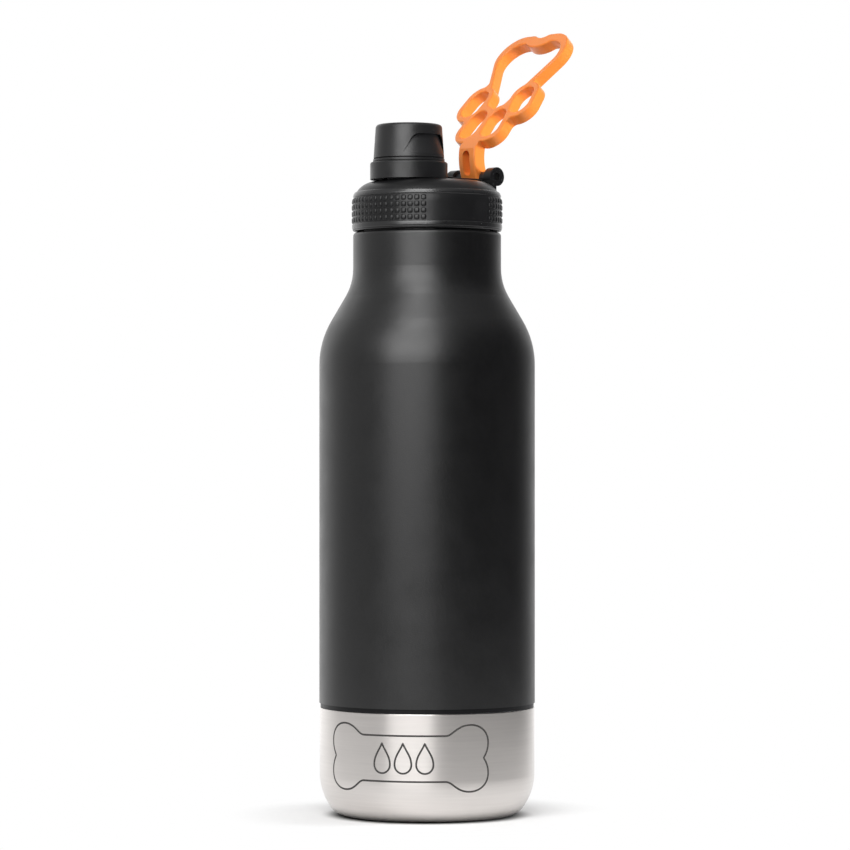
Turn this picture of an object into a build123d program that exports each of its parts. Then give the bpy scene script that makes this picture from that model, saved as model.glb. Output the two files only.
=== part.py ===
from build123d import *
import os
from math import cos, radians, sin, tan

# Travel water bottle for dogs: a vacuum bottle that screws into its own steel bowl, with a
# moulded lid, a screw cap on a tether and a paw-shaped carry handle.
# Millimetres. Z is up. The origin is the middle of the bowl's flat bottom.
# The handle hinge is on the +X side of the lid and its pin runs along Y.
# The screw cap stands on the -X side.

# ---------------------------------------------------------------- driving dimensions

# fits
seat_gap = 0.1           # between pieces bonded or pressed into one another
run_gap = 0.3            # between pieces that move past one another
pin_fit = 0.05           # radial clearance of the handle on its pin
thread_room = 1.6        # radial room for the thread of the lid and of the bowl
spout_thread_room = 1.0  # radial room for the thread of the screw cap

# small rounded edges
rim_round = 0.3          # rims of sheet steel and other thin edges
small_round = 0.45       # moulded edges

# steel bowl
bowl_r = 44.8
bowl_h = 44.8
bowl_wall = 0.9
bowl_wall_round = 24.0   # long curve from the wall towards the foot
bowl_foot_round = 8.0    # short curve into the flat bottom
bowl_foot_in = 6.8       # corner of the foot from the wall
bowl_foot_h = 10.1       # height of the sloping part below the wall

# rings of the thread between bowl and bottle
bowl_ring_wall = 1.5
bowl_ring_h = 12.5
base_seal_h = 1.8
base_seal_w = 2.6
base_flange_h = 1.8
base_flange_set = 0.3    # flange's rim in from the bowl's wall
base_skirt_wall = 1.6
base_skirt_h = 11.5
base_flange_lip = 1.6    # how far the flange reaches in past its skirt

# bottle body
body_step = 0.2          # body's skin out from the bowl's wall
body_h = 195.9           # from the body's bottom edge to the flat top of its neck
shoulder_h = 150.55      # from the bottom edge to the corner where the shoulder starts
shoulder_angle = 30.3    # slope of the shoulder from the vertical
shoulder_round = 36.0
neck_round = 23.3
neck_r = 30.9
neck_edge = 1.5
shell_wall = 0.8
mouth_r = 26.3           # outside of the threaded mouth
mouth_h = 13.4
vacuum_gap = 3.6
liner_wall = 0.7
liner_floor_gap = 6.0    # height of the vacuum space above the base plate
liner_round = 9.0
rim_h = 0.7              # rolled rim that closes the mouth
plate_wall = 0.8
plate_rim_h = 1.8
plate_dish = 1.5
plate_dish_w = 3.0       # width of the slope round the dish
plate_dish_in = 13.0     # dish's slope in from the plate's rim
getter_r = 6.0
getter_h = 1.8
getter_offset = 15.0
bead_r = 3.0
bead_h = 1.0
bead_round = 0.6

# lid
lid_r = 31.1
lid_lift = 0.6           # shadow gap between the bottle's neck and the lid
lid_h = 20.7
lid_round = 9.7
lid_wall = 1.6
lid_edge = 0.4
core_wall = 1.4
core_top = 1.8
core_round = 4.0
core_skirt_gap = 1.4     # how far the core's skirt ends above the lid's edge
lid_seal_h = 1.6
lid_seal_w = 4.0

# spout and screw cap
cap_offset = 10.2
spout_bore_r = 7.6
spout_wall = 1.4
spout_h = 18.5           # above the lid's flat top
cap_seal_h = 1.5
insert_wall = 1.1
insert_top = 1.5
cap_top = 1.8
cap_top_r = 13.75
cap_foot_r = 14.7
cap_flange_r = 14.9
cap_flange_h = 0.9
cap_groove = 0.5
cap_skirt_r = 13.6
cap_bead = 0.6
cap_bead_h = 1.0
cap_round = 1.6
scoop_depth = 1.6
scoop_lip = 4.6
scoop_h = 8.0
scoop_foot_w = 23.0
scoop_top_w = 15.6
scoop_round = 4.0

# tether of the screw cap
ring_r = 16.1
ring_h = 7.2
ring_edge = 0.8
ring_float = 0.4         # height of the tether above the lid's flat top
strap_t = 1.4
strap_ring_w = 13.0
knuckle_r = 2.5
knuckle_w = 4.1
knuckle_tab = 4.5
window_round = 1.8

# hinge
hinge_x = 27.1
hinge_h = 2.8            # pin above the lid's flat top
pin_r = 1.5
pin_recess = 0.5
ear_r = 3.95
ear_w = 4.2
ear_foot_w = 3.2
ear_foot_h = 9.0
ear_foot_in = 0.3        # foot's inner side from the ear's inner side

# carry handle
handle_w = 10.0
neck_t = 6.6
neck_len = 14.6
neck_tilt = 94.0         # direction from the pin to the paw, from +X
neck_bow = 1.3
neck_edge_round = 1.0
neck_slot_w = 4.2
neck_slot_len = 10.6
neck_slot_drop = 0.8     # slot's middle below the neck's middle
neck_slot_depth = 4.0
paw_tilt = 49.0          # slope of the paw above the horizontal
paw_t = 5.4
paw_back = 1.2           # paw's middle plane behind the end of the neck's middle line
paw_edge = 0.7
paw_corner = 2.0         # least radius of the paw's inner corners
paw_lobe_round = 4.0     # least radius of the paw's outer corners
paw_bar = 2.7            # width of the bars between the holes
inner_toe_x = 10.7
inner_toe_y = 6.2
inner_toe_turn = -5.5
inner_toe_half_len = 8.1
inner_toe_half_w = 4.6
outer_toe_x = 23.6
outer_toe_y = 14.5
outer_toe_turn = -10.0
outer_toe_half_len = 7.7
outer_toe_half_w = 5.0
lobe_x = 50.6
lobe_y = 9.0
lobe_r = 8.7
lobe_rim_x = 52.3        # centre of the lobe's outer side, so its bar widens to the end
lobe_rim_r = 11.6
pad_tip_x = 24.3
pad_tip_r = 5.6
pad_notch_x = 68.3
pad_notch_r = 6.0
pad_notch_bar = 5.6      # width of the bar at the notch

# ---------------------------------------------------------------- heights that follow

flange_z = bowl_h + seat_gap                      # underside of the flange on the bowl's rim
body_z = flange_z + base_flange_h                 # bottom edge of the bottle's skin
bowl_ring_z = flange_z - base_seal_h              # top of the ring in the bowl
neck_z = body_z + body_h                          # flat top of the bottle's neck
mouth_z = neck_z + mouth_h                        # sealing face of the mouth
lid_z = neck_z + lid_lift                         # bottom edge of the lid
deck_z = lid_z + lid_h                            # flat top of the lid
core_ceiling_z = mouth_z + lid_seal_h
spout_z = deck_z + spout_h
insert_z = spout_z + cap_seal_h                   # underside of the insert's top
cap_z = insert_z + insert_top + cap_top           # top of the screw cap
ring_z = deck_z + ring_float
ring_top_z = ring_z + ring_h
pin_z = deck_z + hinge_h

# radii that follow
body_r = bowl_r + body_step
base_flange_r = bowl_r - base_flange_set
bowl_ring_r = bowl_r - bowl_wall - seat_gap
bowl_ring_in = bowl_ring_r - bowl_ring_wall
base_skirt_r = bowl_ring_in - thread_room
core_in = mouth_r + thread_room
core_r = core_in + core_wall
spout_r = spout_bore_r + spout_wall
insert_in = spout_r + spout_thread_room
insert_r = insert_in + insert_wall
cap_in = insert_r + seat_gap
liner_mouth_r = mouth_r - shell_wall - seat_gap
ring_in = cap_skirt_r + run_gap

# places along the hinge pin
knuckle_y = handle_w / 2 + run_gap
ear_y = knuckle_y + knuckle_w + run_gap
hinge_half = ear_y + ear_w

cap_origin = (-cap_offset, 0, 0)
cap_axis = Axis(cap_origin, (0, 0, 1))
cap_floor = Plane(cap_origin)
cap_side = Plane(cap_origin, x_dir=(1, 0, 0), z_dir=(0, -1, 0))


def bottle_section(skin, neck, floor, top, foot_round):
    """Half section of the bottle, drawn a distance 'skin' inside its outer skin."""
    slope = radians(shoulder_angle)
    shoulder_r = body_r - skin
    shoulder_z = body_z + shoulder_h - skin * tan(slope / 2)
    neck_foot_z = shoulder_z + (shoulder_r - neck) / tan(slope)
    with BuildSketch(Plane.XZ) as section:
        with BuildLine():
            Polyline((0, floor), (shoulder_r, floor), (shoulder_r, shoulder_z),
                     (neck, neck_foot_z), (neck, top), (0, top), close=True)
        make_face()
        bends = [((shoulder_r, shoulder_z), shoulder_round - skin),
                 ((neck, neck_foot_z), neck_round + skin)]
        if foot_round > 0:
            bends.append(((shoulder_r, floor), foot_round))
        for (across, up), radius in bends:
            fillet(section.vertices().sort_by_distance((across, up, 0))[0], radius)
    return section.sketch


# ---------------------------------------------------------------- bowl

with BuildPart() as steel_bowl:
    with BuildSketch(Plane.XZ):
        with BuildLine():
            Polyline((0, 0), (bowl_r - bowl_foot_in, 0), (bowl_r, bowl_foot_h),
                     (bowl_r, bowl_h), (0, bowl_h), close=True)
        make_face()
    revolve(axis=Axis.Z)
    wall_bend = steel_bowl.edges().filter_by(GeomType.CIRCLE).sort_by(Axis.Z)[1]
    fillet(wall_bend, bowl_wall_round)
    foot_bend = steel_bowl.edges().filter_by(GeomType.CIRCLE).sort_by(Axis.Z)[0]
    fillet(foot_bend, bowl_foot_round)
    offset(amount=-bowl_wall, openings=steel_bowl.faces().sort_by(Axis.Z)[-1])
    rim = steel_bowl.faces().sort_by(Axis.Z)[-1]
    fillet(rim.edges(), rim_round)
steel_bowl.part.label = "steel_bowl"

with BuildPart() as bowl_thread_ring:
    with BuildSketch(Plane.XY.offset(bowl_ring_z - bowl_ring_h)):
        Circle(bowl_ring_r)
        Circle(bowl_ring_in, mode=Mode.SUBTRACT)
    extrude(amount=bowl_ring_h)
    lower_rim = bowl_thread_ring.edges().filter_by(GeomType.CIRCLE).group_by(Axis.Z)[0]
    fillet(lower_rim, small_round)
bowl_thread_ring.part.label = "bowl_thread_ring"

with BuildPart() as base_seal:
    with BuildSketch(Plane.XY.offset(bowl_ring_z)):
        Circle(bowl_ring_r - seat_gap)
        Circle(bowl_ring_r - seat_gap - base_seal_w, mode=Mode.SUBTRACT)
    extrude(amount=base_seal_h)
base_seal.part.label = "base_seal"

# ---------------------------------------------------------------- bottle

with BuildPart() as base_thread_ring:
    with BuildSketch(Plane.XY.offset(flange_z)):
        Circle(base_flange_r)
        Circle(base_skirt_r - base_skirt_wall - base_flange_lip, mode=Mode.SUBTRACT)
    extrude(amount=base_flange_h)
    with BuildSketch(Plane.XY.offset(flange_z)):
        Circle(base_skirt_r)
        Circle(base_skirt_r - base_skirt_wall, mode=Mode.SUBTRACT)
    extrude(amount=-base_skirt_h)
    skirt_foot = base_thread_ring.edges().filter_by(GeomType.CIRCLE).group_by(Axis.Z)[0]
    fillet(skirt_foot, small_round)
base_thread_ring.part.label = "base_thread_ring"

with BuildPart() as outer_shell:
    add(bottle_section(0, neck_r, body_z, neck_z, 0))
    revolve(axis=Axis.Z)
    neck_rim = outer_shell.edges().filter_by(GeomType.CIRCLE).group_by(Axis.Z)[-1]
    fillet(neck_rim, neck_edge)
    with BuildSketch(Plane.XY.offset(neck_z)):
        Circle(mouth_r)
    extrude(amount=mouth_h - rim_h)
    add(bottle_section(shell_wall, neck_r - shell_wall, body_z, neck_z - shell_wall, 0))
    revolve(axis=Axis.Z, mode=Mode.SUBTRACT)
    with BuildSketch(Plane.XY.offset(neck_z - shell_wall)):
        Circle(mouth_r - shell_wall)
    extrude(amount=mouth_h + shell_wall, mode=Mode.SUBTRACT)
outer_shell.part.label = "outer_shell"

liner_skin = shell_wall + vacuum_gap
liner_floor_z = body_z + plate_rim_h + liner_floor_gap
with BuildPart() as inner_liner:
    add(bottle_section(liner_skin, liner_mouth_r, liner_floor_z, mouth_z, liner_round))
    revolve(axis=Axis.Z)
    with BuildSketch(Plane.XY.offset(mouth_z - rim_h)):
        Circle(mouth_r)
    extrude(amount=rim_h)
    add(bottle_section(liner_skin + liner_wall, liner_mouth_r - liner_wall,
                       liner_floor_z + liner_wall, mouth_z, liner_round - liner_wall))
    revolve(axis=Axis.Z, mode=Mode.SUBTRACT)
    mouth_rim = inner_liner.edges().filter_by(GeomType.CIRCLE).group_by(Axis.Z)[-1]
    fillet(mouth_rim, rim_round)
inner_liner.part.label = "inner_liner"

plate_r = body_r - shell_wall - seat_gap
plate_z = body_z + plate_rim_h - plate_wall
dish_z = plate_z + plate_dish
dish_r = plate_r - plate_dish_in
with BuildPart() as base_plate:
    with BuildSketch(Plane.XZ):
        with BuildLine():
            Polyline((0, dish_z), (dish_r - plate_dish_w, dish_z), (dish_r, plate_z),
                     (plate_r - plate_wall, plate_z), (plate_r - plate_wall, body_z),
                     (plate_r, body_z), (plate_r, plate_z + plate_wall),
                     (dish_r, plate_z + plate_wall), (dish_r - plate_dish_w, dish_z + plate_wall),
                     (0, dish_z + plate_wall), close=True)
        make_face()
    revolve(axis=Axis.Z)
base_plate.part.label = "base_plate"

with BuildPart() as vacuum_getter:
    with BuildSketch(Plane.XY.offset(dish_z + plate_wall)):
        with Locations((getter_offset, 0)):
            Circle(getter_r)
    extrude(amount=getter_h)
    fillet(vacuum_getter.edges().group_by(Axis.Z)[-1], rim_round)
vacuum_getter.part.label = "vacuum_getter"

with BuildPart() as vacuum_seal_bead:
    with BuildSketch(Plane.XY.offset(dish_z)):
        Circle(bead_r)
    extrude(amount=-bead_h)
    fillet(vacuum_seal_bead.edges().group_by(Axis.Z)[0], bead_round)
vacuum_seal_bead.part.label = "vacuum_seal_bead"

# ---------------------------------------------------------------- lid

with BuildPart() as lid_seal:
    with BuildSketch(Plane.XY.offset(mouth_z)):
        Circle(core_in - run_gap)
        Circle(core_in - run_gap - lid_seal_w, mode=Mode.SUBTRACT)
    extrude(amount=lid_seal_h)
lid_seal.part.label = "lid_seal"

with BuildPart() as lid_core:
    with BuildSketch(Plane.XY.offset(lid_z + core_skirt_gap)):
        Circle(core_r)
        Circle(core_in, mode=Mode.SUBTRACT)
    extrude(amount=core_ceiling_z - lid_z - core_skirt_gap)
    with BuildSketch(Plane.XY.offset(core_ceiling_z)):
        Circle(core_r)
    extrude(amount=core_top)
    fillet(lid_core.edges().filter_by(GeomType.CIRCLE).group_by(Axis.Z)[-1], core_round)
    with BuildSketch(cap_floor.offset(core_ceiling_z + core_top)):
        Circle(spout_r + core_wall)
    extrude(amount=deck_z - lid_wall - core_ceiling_z - core_top)
    with BuildSketch(cap_floor.offset(core_ceiling_z)):
        Circle(spout_r)
    extrude(amount=spout_z - core_ceiling_z)
    with BuildSketch(cap_floor.offset(core_ceiling_z)):
        Circle(spout_bore_r)
    extrude(amount=spout_z - core_ceiling_z, mode=Mode.SUBTRACT)
    spout_lip = lid_core.edges().filter_by(GeomType.CIRCLE).group_by(Axis.Z)[-1]
    fillet(spout_lip, small_round)
lid_core.part.label = "lid_core"

with BuildPart() as lid_cavity:
    with BuildSketch(Plane.XY.offset(lid_z)):
        Circle(lid_r - lid_wall)
    extrude(amount=lid_h - lid_wall)
    fillet(lid_cavity.edges().group_by(Axis.Z)[-1], lid_round - lid_wall)

with BuildPart() as lid_shell:
    with BuildSketch(Plane.XY.offset(lid_z)):
        Circle(lid_r)
    extrude(amount=lid_h)
    fillet(lid_shell.edges().group_by(Axis.Z)[-1], lid_round)
    chamfer(lid_shell.edges().group_by(Axis.Z)[0], lid_edge)
    # ears of the hinge, with feet that run down into the shoulder
    for side in (1, -1):
        with BuildSketch(Plane.XZ.offset(side * ear_y)):
            with Locations((hinge_x, pin_z)):
                Circle(ear_r)
            with Locations((hinge_x - ear_r + ear_foot_in, pin_z)):
                Rectangle(ear_foot_w, ear_foot_h, align=(Align.MIN, Align.MAX))
        extrude(amount=side * ear_w)
    add(lid_cavity.part, mode=Mode.SUBTRACT)
    with BuildSketch(cap_floor.offset(deck_z)):
        Circle(spout_r + seat_gap)
    extrude(amount=-2 * lid_wall, mode=Mode.SUBTRACT)
    with BuildSketch(Plane.XZ):
        with Locations((hinge_x, pin_z)):
            Circle(pin_r)
    extrude(amount=2 * hinge_half, both=True, mode=Mode.SUBTRACT)
lid_shell.part.label = "lid_shell"

with BuildPart() as hinge_pin:
    with BuildSketch(Plane.XZ):
        with Locations((hinge_x, pin_z)):
            Circle(pin_r)
    extrude(amount=hinge_half - pin_recess, both=True)
    chamfer(hinge_pin.edges().filter_by(GeomType.CIRCLE), rim_round)
hinge_pin.part.label = "hinge_pin"

# ---------------------------------------------------------------- tether of the cap

with BuildPart() as retainer_ring:
    with BuildSketch(cap_floor.offset(ring_z)):
        Circle(ring_r)
        Circle(ring_in, mode=Mode.SUBTRACT)
    extrude(amount=ring_h)
    with BuildSketch(cap_floor.offset(ring_z)):
        Circle(ring_in + cap_bead)
    extrude(amount=cap_bead_h + 2 * run_gap, mode=Mode.SUBTRACT)
    ring_rim = retainer_ring.edges().filter_by(GeomType.CIRCLE).group_by(Axis.Z)[-1]
    fillet(ring_rim.sort_by(SortBy.RADIUS)[-1], ring_edge)
retainer_ring.part.label = "retainer_ring"

knuckle_root_x = hinge_x - knuckle_tab
strap_knuckle_w = 2 * (knuckle_y + knuckle_w)
with BuildPart() as retainer_strap:
    with BuildSketch(Plane.XY.offset(ring_z)):
        with BuildLine():
            Polyline((-cap_offset, -strap_ring_w / 2), (ring_r - cap_offset, -strap_ring_w / 2),
                     (knuckle_root_x - knuckle_tab, -strap_knuckle_w / 2),
                     (knuckle_root_x, -strap_knuckle_w / 2),
                     (knuckle_root_x, strap_knuckle_w / 2),
                     (knuckle_root_x - knuckle_tab, strap_knuckle_w / 2),
                     (ring_r - cap_offset, strap_ring_w / 2),
                     (-cap_offset, strap_ring_w / 2), close=True)
        make_face()
        with Locations((-cap_offset, 0)):
            Circle(ring_r + seat_gap, mode=Mode.SUBTRACT)
        # window that the handle's root swings through
        with Locations((knuckle_root_x, 0)):
            RectangleRounded(2 * knuckle_tab, 2 * knuckle_y, window_round, mode=Mode.SUBTRACT)
    extrude(amount=strap_t)
    fillet(retainer_strap.edges().group_by(Axis.Z)[-1], small_round)
retainer_strap.part.label = "retainer_strap"

with BuildPart() as strap_knuckles:
    for side in (1, -1):
        with BuildSketch(Plane.XZ.offset(side * knuckle_y)):
            with Locations((hinge_x, pin_z)):
                Circle(knuckle_r)
            with BuildLine():
                Polyline((knuckle_root_x + seat_gap, ring_z), (hinge_x, pin_z - knuckle_r),
                         (hinge_x, pin_z), (hinge_x - knuckle_r, ring_z + strap_t),
                         (knuckle_root_x + seat_gap, ring_z + strap_t), close=True)
            make_face()
            with Locations((hinge_x, pin_z)):
                Circle(pin_r + pin_fit, mode=Mode.SUBTRACT)
        extrude(amount=side * knuckle_w)
strap_knuckles.part.label = "strap_knuckles"

# ---------------------------------------------------------------- screw cap

flange_low_z = ring_top_z + run_gap
cone_z = flange_low_z + cap_flange_h + cap_groove
scoop_top_z = cap_z - scoop_lip
scoop_low_z = scoop_top_z - scoop_h


def cone_r(z):
    """Radius of the cap's cone at a height."""
    return cap_foot_r + (cap_top_r - cap_foot_r) * (z - cone_z) / (cap_z - cone_z)


# hollows for finger and thumb: a wedge turned about the cap, cut off by an arch
with BuildPart() as scoops:
    with BuildSketch(cap_side):
        with BuildLine():
            Polyline((cone_r(scoop_low_z), scoop_low_z),
                     (cone_r(scoop_top_z) - scoop_depth, scoop_top_z),
                     (2 * cap_foot_r, scoop_top_z), (2 * cap_foot_r, scoop_low_z), close=True)
        make_face()
    revolve(axis=cap_axis)
    with BuildSketch(cap_side) as arch:
        with BuildLine():
            Polyline((-scoop_foot_w / 2, scoop_low_z), (scoop_foot_w / 2, scoop_low_z),
                     (scoop_top_w / 2, scoop_top_z), (-scoop_top_w / 2, scoop_top_z), close=True)
        make_face()
        fillet(arch.vertices().group_by(Axis.Y)[-1], scoop_round)
    extrude(amount=3 * cap_foot_r, both=True, mode=Mode.INTERSECT)

with BuildPart() as cap_shell:
    with BuildSketch(cap_side):
        with BuildLine():
            Polyline((0, ring_z + cap_bead_h), (cap_skirt_r, ring_z + cap_bead_h),
                     (cap_skirt_r, flange_low_z), (cap_flange_r, flange_low_z),
                     (cap_flange_r, flange_low_z + cap_flange_h),
                     (cap_foot_r - cap_groove, cone_z - cap_groove / 2),
                     (cap_foot_r, cone_z), (cap_top_r, cap_z), (0, cap_z), close=True)
        make_face()
    revolve(axis=cap_axis)
    with BuildSketch(cap_floor.offset(ring_z + run_gap)):
        Circle(cap_skirt_r + cap_bead)
    extrude(amount=cap_bead_h)
    fillet(cap_shell.edges().filter_by(GeomType.CIRCLE).group_by(Axis.Z)[-1], cap_round)
    add(scoops.part, mode=Mode.SUBTRACT)
    with BuildSketch(cap_floor.offset(ring_z)):
        Circle(cap_in)
    extrude(amount=cap_z - cap_top - ring_z, mode=Mode.SUBTRACT)
cap_shell.part.label = "cap_shell"

with BuildPart() as cap_insert:
    with BuildSketch(cap_floor.offset(ring_z + 2 * run_gap)):
        Circle(insert_r)
    extrude(amount=cap_z - cap_top - ring_z - 2 * run_gap)
    with BuildSketch(cap_floor.offset(ring_z)):
        Circle(insert_in)
    extrude(amount=insert_z - ring_z, mode=Mode.SUBTRACT)
cap_insert.part.label = "cap_insert"

with BuildPart() as cap_seal:
    with BuildSketch(cap_floor.offset(spout_z)):
        Circle(insert_in - seat_gap)
    extrude(amount=cap_seal_h)
cap_seal.part.label = "cap_seal"

# ---------------------------------------------------------------- carry handle

hinge_side = Plane((hinge_x, 0, pin_z), x_dir=(1, 0, 0), z_dir=(0, -1, 0))
tilt = radians(neck_tilt)
neck_dir = Vector(cos(tilt), sin(tilt))
neck_out = Vector(-sin(tilt), cos(tilt))
bow = neck_out * neck_bow
paw_root = neck_dir * neck_len
paw_dir = Vector(cos(radians(paw_tilt)), sin(radians(paw_tilt)))
paw_plane = Plane((hinge_x + paw_root.X, 0, pin_z + paw_root.Y),
                  x_dir=(paw_dir.X, 0, paw_dir.Y), z_dir=(-paw_dir.Y, 0, paw_dir.X))

toes = [(inner_toe_x, inner_toe_y, inner_toe_turn, inner_toe_half_len, inner_toe_half_w),
        (outer_toe_x, outer_toe_y, outer_toe_turn, outer_toe_half_len, outer_toe_half_w)]


def toe_ovals(margin):
    """The four toes, each grown by a margin."""
    with BuildSketch() as ovals:
        for toe_x, toe_y, toe_turn, half_len, half_w in toes:
            for side in (1, -1):
                with Locations(Location((toe_x, side * toe_y), side * toe_turn)):
                    SlotOverall(2 * (half_len + margin), 2 * (half_w + margin))
    return ovals.sketch


with BuildSketch() as paw_outline:
    with Locations((lobe_rim_x, lobe_y), (lobe_rim_x, -lobe_y)):
        Circle(lobe_rim_r)
    with Locations((pad_tip_x, 0)):
        Circle(pad_tip_r + paw_bar)
    make_hull()
    with Locations((pad_notch_x, 0)):
        Circle(pad_notch_r, mode=Mode.SUBTRACT)
    add(toe_ovals(paw_bar))
    offset(amount=paw_corner)
    offset(amount=-paw_corner - paw_lobe_round)
    offset(amount=paw_lobe_round)

with BuildSketch() as pad_hole:
    with Locations((lobe_x, lobe_y), (lobe_x, -lobe_y)):
        Circle(lobe_r)
    with Locations((pad_tip_x, 0)):
        Circle(pad_tip_r)
    make_hull()
    with Locations((pad_notch_x, 0)):
        Circle(pad_notch_r + pad_notch_bar, mode=Mode.SUBTRACT)
    add(toe_ovals(paw_bar), mode=Mode.SUBTRACT)
    offset(amount=-paw_corner)
    offset(amount=2 * paw_corner)
    offset(amount=-paw_corner)

with BuildPart() as paw:
    with BuildSketch(paw_plane.offset(-paw_t / 2 - paw_back)):
        add(paw_outline.sketch_local)
        add(toe_ovals(0), mode=Mode.SUBTRACT)
        add(pad_hole.sketch_local, mode=Mode.SUBTRACT)
    extrude(amount=paw_t)
    flats = paw.faces().filter_by(GeomType.PLANE).filter_by(
        lambda flat: abs(flat.normal_at().dot(paw_plane.z_dir)) > 0.99)
    fillet(flats.edges(), paw_edge)

with BuildPart() as carry_handle:
    # neck: a bowed bar from the pin up to the paw
    with BuildSketch(hinge_side):
        with BuildLine():
            ThreePointArc((0, 0), paw_root / 2 + bow, paw_root)
        trace(line_width=neck_t)
        Circle(neck_t / 2)
        with Locations(paw_root):
            Circle(neck_t / 2)
    extrude(amount=handle_w / 2, both=True)
    sides = carry_handle.faces().filter_by(Plane.XZ)
    fillet(sides.edges(), neck_edge_round)
    split(bisect_by=paw_plane.offset(paw_t / 2 - paw_back), keep=Keep.BOTTOM)
    add(paw.part)
    # recess in the neck's inner face
    slot_middle = neck_dir * (neck_len / 2 - neck_slot_drop) + bow
    slot_plane = Plane(hinge_side.from_local_coords(slot_middle), x_dir=(0, 1, 0),
                       z_dir=(neck_out.X, 0, neck_out.Y))
    with BuildSketch(slot_plane.offset(neck_t / 2 - neck_slot_depth)):
        SlotOverall(neck_slot_len, neck_slot_w, rotation=90)
    extrude(amount=neck_t, mode=Mode.SUBTRACT)
    # bore for the hinge pin
    with BuildSketch(hinge_side):
        Circle(pin_r + pin_fit)
    extrude(amount=handle_w, both=True, mode=Mode.SUBTRACT)
carry_handle.part.label = "carry_handle"

# ---------------------------------------------------------------- output

pieces = [steel_bowl, bowl_thread_ring, base_seal, base_thread_ring, outer_shell, inner_liner,
          base_plate, vacuum_getter, vacuum_seal_bead, lid_seal, lid_core, lid_shell, hinge_pin,
          retainer_ring, retainer_strap, strap_knuckles, cap_shell, cap_insert, cap_seal,
          carry_handle]
os.makedirs("parts", exist_ok=True)
for piece in pieces:
    export_step(piece.part, f"parts/{piece.part.label}.step")
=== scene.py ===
from math import cos, hypot, pi, radians, sin, sqrt

import bmesh
import bpy
from mathutils import Matrix, Vector
from mathutils.bvhtree import BVHTree


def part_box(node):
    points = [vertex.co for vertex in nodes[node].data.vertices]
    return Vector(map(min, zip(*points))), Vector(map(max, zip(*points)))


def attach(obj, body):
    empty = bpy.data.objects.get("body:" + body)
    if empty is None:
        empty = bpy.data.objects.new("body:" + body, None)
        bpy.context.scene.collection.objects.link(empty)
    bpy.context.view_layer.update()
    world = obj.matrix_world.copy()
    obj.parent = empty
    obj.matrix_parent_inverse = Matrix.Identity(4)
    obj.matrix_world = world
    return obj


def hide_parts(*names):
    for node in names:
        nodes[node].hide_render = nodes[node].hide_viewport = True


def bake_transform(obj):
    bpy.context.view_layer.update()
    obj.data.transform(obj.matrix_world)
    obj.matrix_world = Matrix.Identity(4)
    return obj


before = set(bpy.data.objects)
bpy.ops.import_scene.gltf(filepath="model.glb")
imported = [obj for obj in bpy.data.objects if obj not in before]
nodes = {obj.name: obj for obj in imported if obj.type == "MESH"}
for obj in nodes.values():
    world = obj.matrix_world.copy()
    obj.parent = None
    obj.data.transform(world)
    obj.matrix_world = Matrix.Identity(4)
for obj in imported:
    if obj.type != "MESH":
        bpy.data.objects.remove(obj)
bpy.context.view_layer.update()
scene = bpy.context.scene
MM = 0.001

# ---------------------------------------------------------------- camera
# Level, at the photograph's distance. It stands TURN_DEG to the left of the -Y direction.

TURN_DEG = 42.0
FRONT_DEG = -90.0 - TURN_DEG          # from the axis to the camera, measured from +X
TURN = radians(TURN_DEG)
TOWARDS_CAMERA = Vector((-sin(TURN), -cos(TURN), 0))
IMAGE_RIGHT = Vector((cos(TURN), -sin(TURN), 0))
CAMERA_FAR = 1.514
CAMERA_Z = 0.1562
SENSOR = 36.0
FRAME_PX = 850
FOCAL_PX = 3625
AXIS_PX = (427.1, 439.8)              # where the camera's axis meets the picture
CLIP = (0.05, 50)

cam_data = bpy.data.cameras.new("camera")
cam = bpy.data.objects.new("camera", cam_data)
scene.collection.objects.link(cam)
cam.location = TOWARDS_CAMERA * CAMERA_FAR + Vector((0, 0, CAMERA_Z))
cam.rotation_mode = "QUATERNION"
cam.rotation_quaternion = (-TOWARDS_CAMERA).to_track_quat("-Z", "Y")
cam_data.sensor_width = SENSOR
cam_data.lens = FOCAL_PX * SENSOR / FRAME_PX
cam_data.shift_x = (FRAME_PX / 2 - AXIS_PX[0]) / FRAME_PX
cam_data.shift_y = (AXIS_PX[1] - FRAME_PX / 2) / FRAME_PX
cam_data.clip_start, cam_data.clip_end = CLIP
scene.camera = cam
scene.view_settings.view_transform = "Standard"


# ---------------------------------------------------------------- node trees

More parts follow.
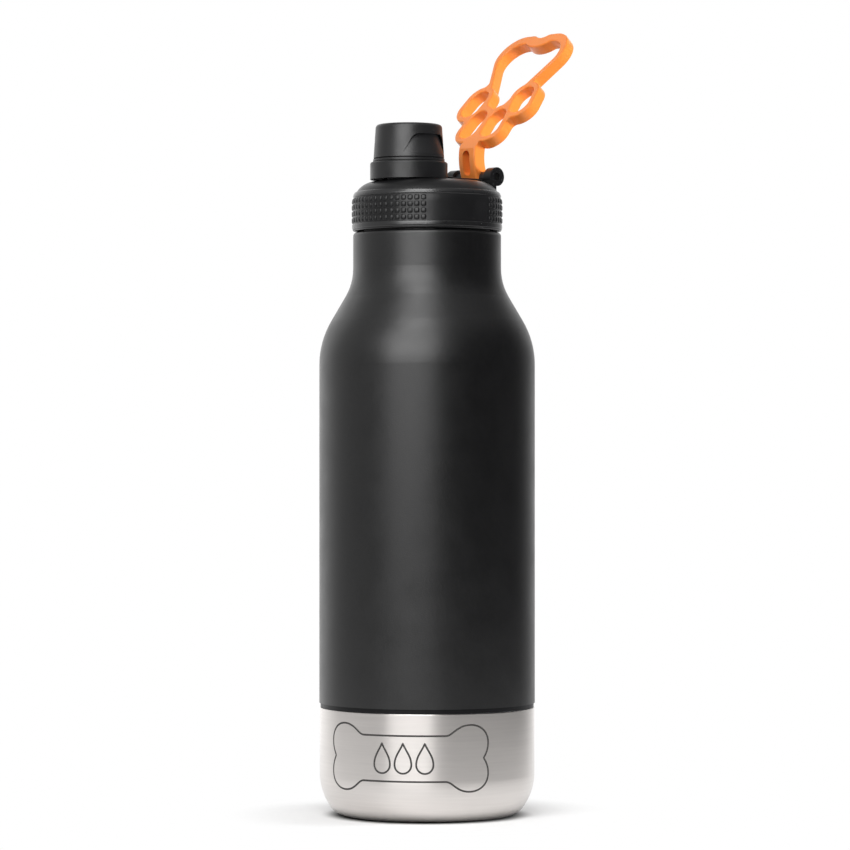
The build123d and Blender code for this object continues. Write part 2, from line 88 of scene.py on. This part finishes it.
class Tree:
    """Short names for building a node tree. Values may be numbers or other nodes' outputs."""

    def __init__(self, tree, coordinates):
        self.tree = tree
        self.coords = self.node("ShaderNodeTexCoord").outputs[coordinates]

    def node(self, kind, **settings):
        made = self.tree.nodes.new(kind)
        for key, value in settings.items():
            setattr(made, key, value)
        return made

    def link(self, source, target):
        self.tree.links.new(source, target)

    def put(self, socket, value):
        """Links an output to a socket, or sets the socket's own value."""
        if isinstance(value, bpy.types.NodeSocket):
            self.link(value, socket)
        else:
            socket.default_value = value

    def fed(self, made, *values):
        """A node with values in its first inputs."""
        for socket, value in zip(made.inputs, values):
            self.put(socket, value)
        return made

    def math(self, operation, *values):
        return self.fed(self.node("ShaderNodeMath", operation=operation), *values).outputs[0]

    def vector_math(self, operation, *vectors):
        """A vector operation whose result is one number."""
        made = self.node("ShaderNodeVectorMath", operation=operation)
        return self.fed(made, *vectors).outputs["Value"]

    def combined(self, x, y, z=0.0):
        return self.fed(self.node("ShaderNodeCombineXYZ"), x, y, z).outputs[0]

    def mapped(self, value, low, high, to_low=0.0, to_high=1.0, **settings):
        """Maps the range low to high onto to_low to to_high, without going past its ends."""
        made = self.node("ShaderNodeMapRange", **settings)
        self.link(value, made.inputs["Value"])
        for name, number in (("From Min", low), ("From Max", high),
                             ("To Min", to_low), ("To Max", to_high)):
            made.inputs[name].default_value = number
        return made.outputs["Result"]

    def mixed(self, factor, a, b):
        """A number between a and b."""
        made = self.node("ShaderNodeMix")
        for socket, value in zip((made.inputs["Factor"], *made.inputs[2:4]), (factor, a, b)):
            self.put(socket, value)
        return made.outputs[0]

    def rays(self, *kinds):
        """One for rays of any of these kinds, else zero."""
        path = self.node("ShaderNodeLightPath").outputs
        seen = path[f"Is {kinds[0]} Ray"]
        for kind in kinds[1:]:
            seen = self.math("MAXIMUM", seen, path[f"Is {kind} Ray"])
        return seen


class Material(Tree):
    """A material with one principled shader. Noise scales are in waves to the metre."""

    def __init__(self, name):
        self.material = bpy.data.materials.new(name)
        self.material.use_nodes = True
        super().__init__(self.material.node_tree, "Object")
        self.shader = self.tree.nodes["Principled BSDF"]
        self.output = self.tree.nodes["Material Output"]

    def set(self, **values):
        for key, value in values.items():
            self.put(self.shader.inputs[key.replace("_", " ")], value)

    def noise(self, scale, detail, vector=None, rough=0.5):
        made = self.node("ShaderNodeTexNoise")
        self.link(vector or self.coords, made.inputs["Vector"])
        made.inputs["Scale"].default_value = scale
        made.inputs["Detail"].default_value = detail
        made.inputs["Roughness"].default_value = rough
        return made.outputs["Fac"]

    def spread(self, noise, low, high):
        """Maps the middle of a noise onto low to high."""
        return self.mapped(noise, 0.3, 0.7, low, high)

    def tint(self, noise, dark, light):
        """A colour between two, by a noise."""
        made = self.node("ShaderNodeMix", data_type="RGBA")
        self.link(self.spread(noise, 0, 1), made.inputs["Factor"])
        made.inputs[6].default_value = (*dark, 1)
        made.inputs[7].default_value = (*light, 1)
        return made.outputs[2]

    def varied(self, noise, colour, share):
        """A colour that a noise darkens and lightens by a share of it."""
        return self.tint(noise, [c * (1 - share) for c in colour],
                         [c * (1 + share) for c in colour])

    def bump(self, height, deep, onto=None):
        """A normal from a height, deep in metres, laid on another normal if one is given."""
        made = self.node("ShaderNodeBump")
        made.inputs["Distance"].default_value = deep
        self.link(height, made.inputs["Height"])
        if onto is not None:
            self.link(onto, made.inputs["Normal"])
        return made.outputs["Normal"]


# ---------------------------------------------------------------- materials

def moulded(name, colour, rough, grain_mm, grain_deep=0.012, specular=0.5, vary=0.12):
    """Moulded plastic or rubber: a spark-eroded grain, and slight colour and gloss variation."""
    n = Material(name)
    fine = n.noise(1000 / grain_mm, 2.0)
    n.set(Base_Color=n.varied(n.noise(55, 4.0), colour, vary),
          Roughness=n.spread(n.noise(160, 5.0), rough - 0.05, rough + 0.05),
          Specular_IOR_Level=specular, Normal=n.bump(fine, grain_deep * MM))
    return n


def brushed(name, colour, rough, lines_mm, deep, vary, anisotropic=0.75, spread=0.03):
    """Steel brushed round the Z axis, so its lines are rings on a wall and circles on a floor."""
    n = Material(name)
    split = n.fed(n.node("ShaderNodeSeparateXYZ"), n.coords)
    x, y, z = split.outputs
    along = n.math("ADD", z, n.vector_math("LENGTH", n.combined(x, y)))

    def ringed(across, along_scale):
        """Coordinates that draw a noise out into rings."""
        return n.combined(n.math("MULTIPLY", x, across), n.math("MULTIPLY", y, across),
                          n.math("MULTIPLY", along, along_scale))

    lines = n.noise(1.0, 3.0, ringed(22.0, 1000 / lines_mm), 0.65)
    bands = n.noise(1.0, 4.0, ringed(30.0, 900.0), 0.6)
    n.set(Base_Color=n.varied(bands, colour, vary), Metallic=1.0,
          Roughness=n.spread(lines, rough - spread, rough + spread),
          Anisotropic=anisotropic, Anisotropic_Rotation=0.25,
          Normal=n.bump(lines, deep * MM))
    tangent = n.node("ShaderNodeTangent", direction_type="RADIAL", axis="Z")
    n.link(tangent.outputs[0], n.shader.inputs["Tangent"])
    return n


def powder_coat():
    """Matt black powder coat: a pebbled skin with a finer grain on it."""
    n = Material("black_powder_coat")
    pebbles = n.bump(n.noise(1900, 2.0, rough=0.55), 0.030 * MM)
    skin = n.bump(n.noise(5200, 1.0), 0.010 * MM, onto=pebbles)
    n.set(Base_Color=n.tint(n.noise(700, 4.0), (0.0035, 0.0035, 0.0038),
                            (0.0055, 0.0055, 0.0058)),
          Roughness=n.spread(n.noise(90, 5.0), 0.35, 0.41),
          Specular_IOR_Level=0.72, Normal=skin)
    return n


coat = powder_coat()
lid_plastic = moulded("lid_plastic", (0.007, 0.007, 0.0075), rough=0.36, grain_mm=0.30,
                      grain_deep=0.010, specular=0.45)
bead_plastic = moulded("bead_plastic", (0.009, 0.009, 0.0095), rough=0.29, grain_mm=0.30,
                       grain_deep=0.006, specular=0.9)
cap_plastic = moulded("cap_plastic", (0.010, 0.010, 0.0105), rough=0.40, grain_mm=0.28,
                      specular=0.66)
tether_plastic = moulded("tether_plastic", (0.008, 0.008, 0.0085), rough=0.40, grain_mm=0.30,
                         grain_deep=0.010, specular=0.6)
ring_plastic = moulded("ring_plastic", (0.004, 0.004, 0.0045), rough=0.42, grain_mm=0.35,
                       grain_deep=0.008, specular=0.25)
core_plastic = moulded("core_plastic", (0.04, 0.04, 0.043), rough=0.34, grain_mm=0.50,
                       grain_deep=0.004)
silicone = moulded("seal_silicone", (0.50, 0.51, 0.52), rough=0.38, grain_mm=0.60,
                   grain_deep=0.004, specular=0.4)
silicone.set(Subsurface_Weight=0.25, Subsurface_Radius=(0.003, 0.003, 0.003))
orange = moulded("orange_soft_plastic", (0.86, 0.25, 0.045), rough=0.36, grain_mm=0.40,
                 grain_deep=0.006, specular=0.45, vary=0.04)
orange.set(Subsurface_Weight=0.1, Subsurface_Radius=(0.002, 0.0008, 0.0003),
           Coat_Weight=0.12, Coat_Roughness=0.25)
bowl_steel = brushed("bowl_steel", (0.735, 0.70, 0.675), rough=0.315, lines_mm=0.14,
                     deep=0.002, vary=0.03, spread=0.035)
liner_steel = brushed("liner_steel", (0.62, 0.61, 0.60), rough=0.20, lines_mm=0.20,
                      deep=0.002, vary=0.05, anisotropic=0.4)
pin_steel = brushed("pin_steel", (0.33, 0.33, 0.33), rough=0.34, lines_mm=0.15,
                    deep=0.003, vary=0.1, anisotropic=0.0)
getter = moulded("getter_metal", (0.45, 0.44, 0.43), rough=0.62, grain_mm=0.20,
                 grain_deep=0.030)
getter.set(Metallic=1.0)
glass = moulded("glass_bead", (0.10, 0.10, 0.12), rough=0.12, grain_mm=1.2, grain_deep=0.004)
etch = moulded("etched_line", (0.045, 0.042, 0.040), rough=0.55, grain_mm=0.12,
               grain_deep=0.010)

NODE_MATERIALS = {
    "steel_bowl": bowl_steel, "bowl_thread_ring": ring_plastic, "base_seal": silicone,
    "base_thread_ring": ring_plastic, "outer_shell": coat, "inner_liner": liner_steel,
    "base_plate": liner_steel, "vacuum_getter": getter, "vacuum_seal_bead": glass,
    "lid_seal": silicone, "lid_core": core_plastic, "lid_shell": lid_plastic,
    "hinge_pin": pin_steel, "retainer_ring": tether_plastic, "retainer_strap": tether_plastic,
    "strap_knuckles": tether_plastic, "cap_shell": cap_plastic, "cap_insert": core_plastic,
    "cap_seal": silicone, "carry_handle": orange,
}
for name, made in NODE_MATERIALS.items():
    mesh = nodes[name].data
    mesh.materials.clear()
    mesh.materials.append(made.material)


# ---------------------------------------------------------------- helpers for pieces

RAY_FROM = 0.08            # farther from the axis than any skin that is read, in metres


def new_piece(name, bm, made, body, smooth=True):
    """Turns a bmesh into an object that rides on a body."""
    bmesh.ops.recalc_face_normals(bm, faces=bm.faces)
    mesh = bpy.data.meshes.new(name)
    bm.to_mesh(mesh)
    bm.free()
    mesh.materials.append(made.material)
    for polygon in mesh.polygons:
        polygon.use_smooth = smooth
    piece = bpy.data.objects.new(name, mesh)
    scene.collection.objects.link(piece)
    if body:
        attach(piece, body)
    return piece


def surface_of(name):
    """Ray-casting tree of a CAD node at rest."""
    bm = bmesh.new()
    bm.from_mesh(nodes[name].data)
    tree = BVHTree.FromBMesh(bm)
    bm.free()
    return tree


def skin_point(tree, angle, z):
    """Point and normal of a node's outer skin at an angle round the axis and a height."""
    out = Vector((cos(angle), sin(angle), 0))
    point, normal, _, _ = tree.ray_cast(Vector((0, 0, z)) + out * RAY_FROM, -out)
    return point, normal


def bridge_rings(bm, rings, closed):
    """Joins successive rings of vertices with quads, and closes the ends of an open run."""
    count = len(rings)
    for i in range(count if closed else count - 1):
        a, b = rings[i], rings[(i + 1) % count]
        for k in range(len(a)):
            j = (k + 1) % len(a)
            bm.faces.new((a[k], a[j], b[j], b[k]))
    if not closed:
        bm.faces.new(reversed(rings[0]))
        bm.faces.new(rings[-1])


# ---------------------------------------------------------------- threads

THREAD_FOOT, THREAD_CREST = 0.42, 0.16        # widths of a ridge, as shares of the lead
THREAD_SUNK = 0.12 * MM
STEPS_A_TURN = 72
RUN_OUT_STEPS = 9                             # over which a ridge rises at each end
RUN_OUT_START = 0.04                          # of its height


def thread(name, made, body, radius, height, low, high, lead, turn=0.0, centre_x=0.0):
    """A right-hand thread ridge. A negative height points it at the axis."""
    bm = bmesh.new()
    half_foot, half_crest = lead * THREAD_FOOT / 2, lead * THREAD_CREST / 2
    foot_r = radius - THREAD_SUNK * (1 if height > 0 else -1)
    turns = (high - low - 2 * half_foot) / lead
    steps = int(turns * STEPS_A_TURN)
    rings = []
    for i in range(steps + 1):
        share = i / steps
        angle = turn + 2 * pi * (turns * share)
        z = low + half_foot + lead * turns * share
        run_out = min(1.0, share * steps / RUN_OUT_STEPS, (1 - share) * steps / RUN_OUT_STEPS)
        crest_r = radius + height * (RUN_OUT_START + (1 - RUN_OUT_START) * run_out)
        rings.append([
            bm.verts.new((centre_x + r * cos(angle), r * sin(angle), z + dz))
            for r, dz in ((foot_r, -half_foot), (crest_r, -half_crest),
                          (crest_r, half_crest), (foot_r, half_foot))])
    bridge_rings(bm, rings, closed=False)
    return new_piece(name, bm, made, body, smooth=False)


BOWL_LEAD, LID_LEAD, CAP_LEAD = 6 * MM, 5 * MM, 3 * MM
BOWL_RIDGE, LID_RIDGE, CAP_RIDGE = 1.15 * MM, 1.1 * MM, 0.72 * MM
THREAD_ROOM, SPOUT_THREAD_ROOM = 1.6 * MM, 1.0 * MM
CAP_X = -10.2 * MM
BOWL_RING_THICK = 1.5 * MM
MOUTH_R = 26.3 * MM
SPOUT_R = 9.0 * MM

ring_low, ring_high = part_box("bowl_thread_ring")
skirt_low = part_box("base_thread_ring")[0]
bowl_ring_in = ring_high.x - BOWL_RING_THICK
thread("bowl_thread", ring_plastic, "bowl", bowl_ring_in, -BOWL_RIDGE,
       low=ring_low.z + 0.6 * MM, high=ring_high.z - 0.6 * MM, lead=BOWL_LEAD)
thread("base_thread", ring_plastic, "bottle", bowl_ring_in - THREAD_ROOM,
       BOWL_RIDGE, low=skirt_low.z + 0.5 * MM, high=skirt_low.z + 9.5 * MM, lead=BOWL_LEAD,
       turn=pi)

neck_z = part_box("lid_shell")[0].z - 0.6 * MM
mouth_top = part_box("inner_liner")[1].z
core_low, core_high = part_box("lid_core")
thread("mouth_thread", coat, "bottle", MOUTH_R, LID_RIDGE,
       low=neck_z + 1.6 * MM, high=mouth_top - 1.6 * MM, lead=LID_LEAD)
thread("lid_thread", core_plastic, "lid", MOUTH_R + THREAD_ROOM, -LID_RIDGE,
       low=core_low.z + 0.5 * MM, high=mouth_top - 0.4 * MM, lead=LID_LEAD, turn=pi)

spout_top = core_high.z
insert_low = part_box("cap_insert")[0].z
thread("spout_thread", core_plastic, "lid", SPOUT_R, CAP_RIDGE,
       low=spout_top - 12.0 * MM, high=spout_top - 1.6 * MM, lead=CAP_LEAD, centre_x=CAP_X)
thread("cap_thread", core_plastic, "cap", SPOUT_R + SPOUT_THREAD_ROOM,
       -CAP_RIDGE, low=insert_low + 0.5 * MM, high=spout_top - 2.4 * MM, lead=CAP_LEAD,
       turn=pi, centre_x=CAP_X)


# ---------------------------------------------------------------- studded grip of the lid

STUD_ROWS = (247.5, 250.2, 252.9, 255.6)       # heights, in mm
STUD_PITCH = 2.8                               # round the lid, in mm
STUD_HALF, STUD_TALL = 1.14, 0.4               # in mm
STUD_FIELDS = ((FRONT_DEG - 125.0, FRONT_DEG),
               (FRONT_DEG + 55.0, FRONT_DEG + 180.0))    # degrees round the lid
# Shares of the half width and of the height, from the sunk foot to the top.
STUD_PROFILE = ((1.0, -0.3), (1.0, 0.1), (0.88, 0.6), (0.62, 0.92), (0.3, 1.0))
STUD_SIDES = 12
SQUARENESS = 0.62                              # 1 is a circle, less is nearer to a square


def squared(cosine):
    """A circle's coordinate, pushed out towards a square's."""
    return abs(cosine) ** SQUARENESS * (1 if cosine >= 0 else -1)


def stud(bm, tree, angle, z, radius):
    """One low pillow with a rounded square foot, sunk a little into the lid."""
    rings = []
    for share, tall in STUD_PROFILE:
        ring = []
        for k in range(STUD_SIDES):
            turn = 2 * pi * k / STUD_SIDES
            across = STUD_HALF * share * squared(cos(turn))
            up = STUD_HALF * share * squared(sin(turn))
            point, _ = skin_point(tree, angle + across * MM / radius, z + up * MM)
            out = Vector((point.x, point.y, 0)).normalized()
            ring.append(bm.verts.new(point + out * (STUD_TALL * tall * MM)))
        rings.append(ring)
    bridge_rings(bm, rings, closed=False)


lid_skin = surface_of("lid_shell")
lid_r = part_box("lid_shell")[1].y
bm = bmesh.new()
for first, last in STUD_FIELDS:
    span = radians(last - first)
    columns = int(span * lid_r / (STUD_PITCH * MM))
    for column in range(columns):
        angle = radians(first) + span * (column + 0.5) / columns
        for z in STUD_ROWS:
            stud(bm, lid_skin, angle, z * MM, lid_r)
new_piece("grip_studs", bm, lid_plastic, "lid")


# ---------------------------------------------------------------- beads of the lid

BEADS = ((258.3, 1.15, 0.6), (245.0, 1.1, 0.35))     # height, half width, rise, in mm
BEAD_AT = radians(-90)                               # where the lid's section is read
BEAD_SUNK = 0.1 * MM
BEAD_ROOT = 0.3 * MM                                 # from its edges into the lid
BEAD_STEPS, BEAD_SIDES = 14, 160


def bead(bm, tree, z, half, rise):
    """A low rounded ring on the lid's skin, whose section is read at one angle."""
    section = []
    for k in range(BEAD_STEPS + 1):
        share = 2 * k / BEAD_STEPS - 1
        point, out = skin_point(tree, BEAD_AT, z + half * share)
        section.append(point + out * (rise * sqrt(1 - share ** 4) - BEAD_SUNK))
    inwards = Vector((cos(BEAD_AT), sin(BEAD_AT), 0)) * BEAD_ROOT
    section += [section[-1] - inwards, section[0] - inwards]
    rings = []
    for i in range(BEAD_SIDES):
        turn = Matrix.Rotation(2 * pi * i / BEAD_SIDES, 3, "Z")
        rings.append([bm.verts.new(turn @ p) for p in section])
    bridge_rings(bm, rings, closed=True)


bm = bmesh.new()
for z, half, rise in BEADS:
    bead(bm, lid_skin, z * MM, half * MM, rise * MM)
new_piece("lid_beads", bm, bead_plastic, "lid")


# ---------------------------------------------------------------- etched lines on the bowl

LINE_WIDTH = 0.75                                        # in mm, as all lengths here
# Sides and heights of a line's section: sunk edges and a top that is just proud of the steel.
LINE_SECTION = ((1, -0.15), (1, 0.03), (-1, 0.03), (-1, -0.15))
CURVE_STEPS = 16
BONE_GAP, DROP_GAP = 0.5, 0.4                            # between a line's points
BONE_WAIST, DROP_FOOT = (34.1, 0.0), (0.0, -6.0)
# An outline is its first point and its curves, each with two handles and an end.
BONE_QUARTER = ((17.6, 9.3), (
    ((20.4, 9.3), (22.0, 13.6), (28.0, 13.6)),
    ((32.8, 13.6), (36.3, 10.4), (36.3, 6.2)),
    ((36.3, 3.6), (35.4, 1.9), BONE_WAIST)))
DROP_HALF = ((0.0, 6.3), (
    ((0.9, 3.6), (3.5, 1.2), (3.5, -2.4)),
    ((3.5, -4.5), (1.9, -6.0), DROP_FOOT)))
DROPS_AT = (-9.0, 0.0, 9.0)
BONE_ANGLE = radians(FRONT_DEG - 12.7)
BONE_Z = 26.75 * MM


def bezier(a, b, c, d):
    """Points of a cubic from a, without its last point."""
    points = []
    for i in range(CURVE_STEPS):
        t = i / CURVE_STEPS
        u = 1 - t
        points.append(tuple(u ** 3 * a[k] + 3 * u * u * t * b[k] + 3 * u * t * t * c[k]
                            + t ** 3 * d[k] for k in range(2)))
    return points


def outline(start, curves):
    """Points of successive curves, without the last one."""
    points = []
    for handle_a, handle_b, end in curves:
        points += bezier(start, handle_a, handle_b, end)
        start = end
    return points


def even(points, gap):
    """Points of a closed outline at even distances."""
    loop = points + points[:1]
    lengths = [0.0]
    for a, b in zip(loop, loop[1:]):
        lengths.append(lengths[-1] + hypot(b[0] - a[0], b[1] - a[1]))
    count = round(lengths[-1] / gap)
    made, k = [], 0
    for i in range(count):
        want = lengths[-1] * i / count
        while lengths[k + 1] < want:
            k += 1
        share = (want - lengths[k]) / (lengths[k + 1] - lengths[k])
        made.append(tuple(loop[k][j] + (loop[k + 1][j] - loop[k][j]) * share for j in range(2)))
    return made


def etched_line(bm, tree, points, radius):
    """A closed flat line laid on the bowl's wall, round the bone's centre."""
    rings = []
    count = len(points)
    for i, (across, up) in enumerate(points):
        before, after = points[i - 1], points[(i + 1) % count]
        along = Vector((after[0] - before[0], after[1] - before[1])).normalized()
        side = Vector((-along.y, along.x)) * LINE_WIDTH / 2
        ring = []
        for sign, lift in LINE_SECTION:
            s = across + side.x * sign
            z = BONE_Z + (up + side.y * sign) * MM
            point, normal = skin_point(tree, BONE_ANGLE + s * MM / radius, z)
            ring.append(bm.verts.new(point + normal * lift * MM))
        rings.append(ring)
    bridge_rings(bm, rings, closed=True)


quarter = outline(*BONE_QUARTER)
right_half = quarter + [BONE_WAIST] + [(x, -y) for x, y in reversed(quarter)]
bone = right_half + [(-x, -y) for x, y in right_half]
drop_side = outline(*DROP_HALF)
drop = drop_side + [DROP_FOOT] + [(-x, y) for x, y in reversed(drop_side[1:])]

bowl_skin = surface_of("steel_bowl")
bowl_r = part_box("steel_bowl")[1].y
bm = bmesh.new()
etched_line(bm, bowl_skin, even(bone, BONE_GAP), bowl_r)
new_piece("bone_line", bm, etch, "bowl")
bm = bmesh.new()
for shift in DROPS_AT:
    etched_line(bm, bowl_skin, [(x + shift, y) for x, y in even(drop, DROP_GAP)], bowl_r)
new_piece("drop_lines", bm, etch, "bowl")


# ---------------------------------------------------------------- tether strap

STRAP_THICK = 1.4 * MM
STRAP_RISE = 0.8 * MM                # of its end at the ring above its end at the hinge
STRAP_HALF_AT_RING = 6.5 * MM
STRAP_OFF_RING, STRAP_IN_RING = 0.05 * MM, 0.02 * MM
WINDOW_LONG, WINDOW_HALF = 4.3 * MM, 5.35 * MM           # opening for the handle's foot
LEG_REACH = 1.2 * MM                 # of the legs' inner edges into the window, at their start
STRAP_ROUND = 0.4 * MM
STRAP_COLUMNS, LEG_STEPS = 22, 6
STRAP_SHARES = (-1.0, -0.9, -0.72, -0.5, -0.25, 0.0, 0.25, 0.5, 0.72, 0.9, 1.0)


def strap_web(bm, z_low, ring_r, window_start, half_hinge):
    """The strap's underside from the ring to the window. Returns its last row."""
    grid = []
    for i in range(STRAP_COLUMNS + 1):
        u = i / STRAP_COLUMNS
        row = []
        for share in STRAP_SHARES:
            y_ring = share * STRAP_HALF_AT_RING
            x_ring = CAP_X + sqrt(ring_r ** 2 - y_ring ** 2) - STRAP_IN_RING
            x = x_ring + (window_start - x_ring) * u
            widen = u * u * (3 - 2 * u)
            y = y_ring + (share * half_hinge - y_ring) * widen
            z = z_low + STRAP_RISE * (1 - min(1.0, u / 0.8)) ** 2
            row.append(bm.verts.new((x, y, z)))
        grid.append(row)
    for a, b in zip(grid, grid[1:]):
        for k in range(len(STRAP_SHARES) - 1):
            bm.faces.new((a[k], b[k], b[k + 1], a[k + 1]))
    return grid[-1]


def strap_leg(bm, side, web_end, z_low, window_start, hinge_end, half_hinge):
    """The underside of one of the two legs beside the handle."""
    middles = [(a + b) / 2 for a, b in zip(STRAP_SHARES, STRAP_SHARES[1:])]
    cells = [k for k, middle in enumerate(middles)
             if side * middle * half_hinge > WINDOW_HALF - LEG_REACH]
    cols = sorted({k for c in cells for k in (c, c + 1)})
    previous = [web_end[k] for k in cols]
    for i in range(1, LEG_STEPS + 1):
        t = i / LEG_STEPS
        row = []
        for k in cols:
            y = STRAP_SHARES[k] * half_hinge
            if k == (cols[0] if side > 0 else cols[-1]):         # settles on the window's edge
                settle = min(1.0, t * 2.2)
                y = y + (side * WINDOW_HALF - y) * (settle * (2 - settle))
            x = window_start + (hinge_end - window_start) * t
            row.append(bm.verts.new((x, y, z_low)))
        for a in range(len(cols) - 1):
            bm.faces.new((previous[a], row[a], row[a + 1], previous[a + 1]))
        previous = row


def tether_strap():
    """The flexible strap from the cap's ring to the hinge, open where the handle swings."""
    low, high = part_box("retainer_strap")
    ring_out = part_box("retainer_ring")[1].x + STRAP_OFF_RING
    hinge_end, half_hinge = high.x, high.y
    window_start = hinge_end - WINDOW_LONG
    bm = bmesh.new()
    web_end = strap_web(bm, low.z, ring_out - CAP_X, window_start, half_hinge)
    for side in (-1, 1):
        strap_leg(bm, side, web_end, low.z, window_start, hinge_end, half_hinge)
    top = bmesh.ops.extrude_face_region(bm, geom=bm.faces[:])
    raised = [g for g in top["geom"] if isinstance(g, bmesh.types.BMVert)]
    bmesh.ops.translate(bm, verts=raised, vec=(0, 0, STRAP_THICK))
    bmesh.ops.recalc_face_normals(bm, faces=bm.faces)
    upper_edges = [e for e in bm.edges if len(e.link_faces) == 2
                   and e.calc_face_angle() > radians(60)
                   and any(f.normal.z > 0.7 for f in e.link_faces)]
    bmesh.ops.bevel(bm, geom=upper_edges, offset=STRAP_ROUND, segments=3, profile=0.5,
                    affect="EDGES", clamp_overlap=True)
    strap = new_piece("tether_strap", bm, tether_plastic, None)
    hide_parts("retainer_strap")
    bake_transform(strap)


tether_strap()


# ---------------------------------------------------------------- light

# Brightness of the studio by direction: degrees from the camera's direction, to the image's
# right. White sheets stand behind and on the left, and the room is dark on the right.
STUDIO = ((-180, 1.4), (-140, 1.1), (-110, 0.50), (-60, 0.34), (-42, 0.12), (5, 0.05),
          (25, 0.01), (112, 0.01), (128, 0.15), (147, 0.65), (163, 1.1), (180, 1.4))
STUDIO_TOP = 0.3
TOP_FROM, TOP_WHOLE = 0.45, 0.9      # upward share of a direction, where the top takes over
BACKGROUND = 1.0

world = bpy.data.worlds.new("studio")
scene.world = world
world.use_nodes = True
sky = Tree(world.node_tree, "Generated")

bearing = sky.math("ARCTAN2", sky.vector_math("DOT_PRODUCT", sky.coords, IMAGE_RIGHT),
                   sky.vector_math("DOT_PRODUCT", sky.coords, TOWARDS_CAMERA))
ramp = sky.node("ShaderNodeValToRGB")
sky.link(sky.mapped(bearing, -pi, pi), ramp.inputs["Fac"])
brightest = max(level for _, level in STUDIO)
stops = ramp.color_ramp.elements
while len(stops) < len(STUDIO):
    stops.new(1.0)
for stop, (right_deg, level) in zip(stops, STUDIO):
    stop.position = (right_deg + 180) / 360
    stop.color = (*[level / brightest] * 3, 1)
walls = sky.math("MULTIPLY", ramp.outputs["Color"], brightest)
upwards = sky.mapped(sky.vector_math("DOT_PRODUCT", sky.coords, (0, 0, 1)), TOP_FROM, TOP_WHOLE,
                     interpolation_type="SMOOTHSTEP")
studio = sky.mixed(upwards, walls, STUDIO_TOP)
strength = sky.mixed(sky.rays("Camera", "Transmission"), studio, BACKGROUND)
background = sky.tree.nodes["Background"]
sky.link(strength, background.inputs["Strength"])
background.inputs["Color"].default_value = (1, 1, 1, 1)


def area_light(name, azimuth, elevation, far, size, power, aim, glossy=True):
    """A soft box. Azimuth is measured from the camera's direction, to the image's right."""
    data = bpy.data.lights.new(name, "AREA")
    data.shape = "RECTANGLE"
    data.size, data.size_y = size
    data.energy = power
    lamp = bpy.data.objects.new(name, data)
    lamp.visible_glossy = glossy
    scene.collection.objects.link(lamp)
    a, e = radians(azimuth), radians(elevation)
    way = (TOWARDS_CAMERA * cos(a) + IMAGE_RIGHT * sin(a)) * cos(e) + Vector((0, 0, sin(e)))
    lamp.location = Vector(aim) + way * far
    lamp.rotation_mode = "QUATERNION"
    lamp.rotation_quaternion = (-way).to_track_quat("-Z", "Y")


area_light("key", azimuth=-18, elevation=21, far=1.05, size=(0.95, 0.72), power=9.0,
           aim=(0, 0, 0.20))
area_light("top", azimuth=-16, elevation=54, far=1.0, size=(0.55, 0.35), power=3.2,
           aim=(0, 0, 0.22))
area_light("right_fill", azimuth=88, elevation=-4, far=1.1, size=(0.4, 0.4), power=20.0,
           aim=(0.045, 0, 0.30), glossy=False)


# ---------------------------------------------------------------- floor

FLOOR_R = 0.35
FLOOR_SIDES = 96
FLOOR_BELOW = 0.0002
SEEN_GREY = 0.93                     # painted contact shadow: the floor's grey next to the bowl's round corner, as the camera and reflections see it
UNSEEN_GREY = 0.40                   # as it lights the bottle
PAINTED_SHADOW_GREY = 0.08                  # as seen under the bowl's round corner
PAINTED_SHADOW_R = (0.034, 0.045)           # radii between which the painted contact shadow ends
WHITE_R = (0.044, 0.085)             # radii between which the floor turns into plain white

under = Material("floor_white")
watched = under.rays("Camera", "Glossy", "Transmission")
from_axis = under.vector_math("LENGTH", under.coords)
# Painted shadow: close round the bowl, the floor's colour as the camera and reflections see it is
# darkened towards near black, so it reads as a contact shadow and as a dark reflection under the
# bowl.
painted_shadow = under.mapped(from_axis, *PAINTED_SHADOW_R, PAINTED_SHADOW_GREY - UNSEEN_GREY,
                       SEEN_GREY - UNSEEN_GREY, interpolation_type="SMOOTHSTEP")
under.set(Base_Color=under.math("MULTIPLY_ADD", watched, painted_shadow, UNSEEN_GREY),
          Roughness=0.9, Specular_IOR_Level=0.1)
fade = under.mapped(from_axis, *WHITE_R, interpolation_type="SMOOTHSTEP")
white = under.node("ShaderNodeEmission")
white.inputs["Strength"].default_value = BACKGROUND
surface = under.fed(under.node("ShaderNodeMixShader"), under.math("MULTIPLY", fade, watched),
                    under.shader.outputs[0], white.outputs[0])
under.link(surface.outputs[0], under.output.inputs["Surface"])

bm = bmesh.new()
bmesh.ops.create_circle(bm, cap_ends=True, radius=FLOOR_R, segments=FLOOR_SIDES)
mesh = bpy.data.meshes.new("floor")
bm.to_mesh(mesh)
bm.free()
mesh.materials.append(under.material)
floor = bpy.data.objects.new("floor", mesh)
floor.location.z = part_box("steel_bowl")[0].z - FLOOR_BELOW
scene.collection.objects.link(floor)
